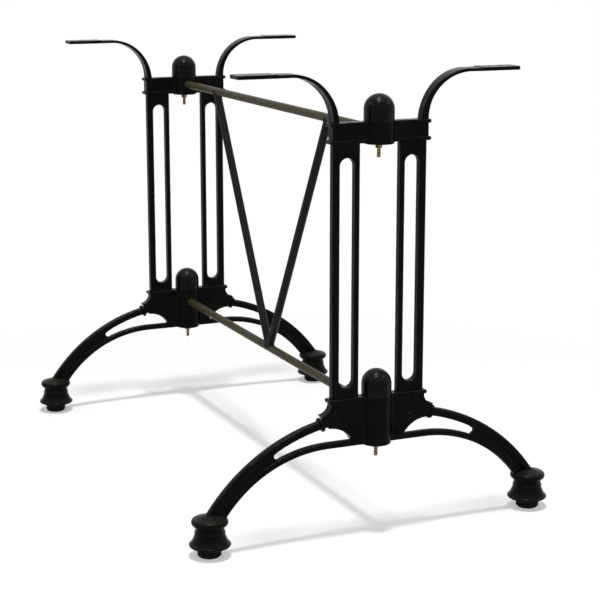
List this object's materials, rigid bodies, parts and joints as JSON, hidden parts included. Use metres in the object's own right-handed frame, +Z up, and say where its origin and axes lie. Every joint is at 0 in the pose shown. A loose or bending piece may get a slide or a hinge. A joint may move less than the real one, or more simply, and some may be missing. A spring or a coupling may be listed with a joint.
{
  "type": "twin table base",
  "caption": "Cast-iron twin table base: arched pierced legs, slotted uprights and curved arms in end frames clamped at domed hubs and tied by a tube stretcher with a V brace.",
  "frame": {"origin": "on the floor, midway between the four feet", "axes": "+X along the stretcher towards the front end frame, +Y across the legs towards the right legs, +Z up"},
  "size_m": [0.921, 0.6186, 0.72],
  "materials": {
    "black_casting": "semi-gloss black paint",
    "stretcher_tube": "satin dark grey paint",
    "golden_fastener": "golden passivated",
    "foot_pad": "matte"
  },
  "bodies": {
    "root": {"front_right_leg": "black_casting", "front_right_pad": "foot_pad", "front_left_leg": "black_casting", "front_left_pad": "foot_pad", "front_upper_cap": "black_casting", "front_upper_stud": "golden_fastener", "front_upper_washer": "golden_fastener", "front_upper_nut": "golden_fastener", "front_upper_blank_lug": "black_casting", "front_upper_rail_lug": "black_casting", "front_lower_cap": "black_casting", "front_lower_stud": "golden_fastener", "front_lower_washer": "golden_fastener", "front_lower_nut": "golden_fastener", "front_lower_blank_lug": "black_casting", "front_lower_rail_lug": "black_casting", "rear_right_leg": "black_casting", "rear_right_pad": "foot_pad", "rear_left_leg": "black_casting", "rear_left_pad": "foot_pad", "rear_upper_cap": "black_casting", "rear_upper_stud": "golden_fastener", "rear_upper_washer": "golden_fastener", "rear_upper_nut": "golden_fastener", "rear_upper_blank_lug": "black_casting", "rear_upper_rail_lug": "black_casting", "rear_lower_cap": "black_casting", "rear_lower_stud": "golden_fastener", "rear_lower_washer": "golden_fastener", "rear_lower_nut": "golden_fastener", "rear_lower_blank_lug": "black_casting", "rear_lower_rail_lug": "black_casting", "top_rail": "stretcher_tube", "bottom_rail": "stretcher_tube", "front_brace": "stretcher_tube", "rear_brace": "stretcher_tube"}
  },
  "joints": []
}
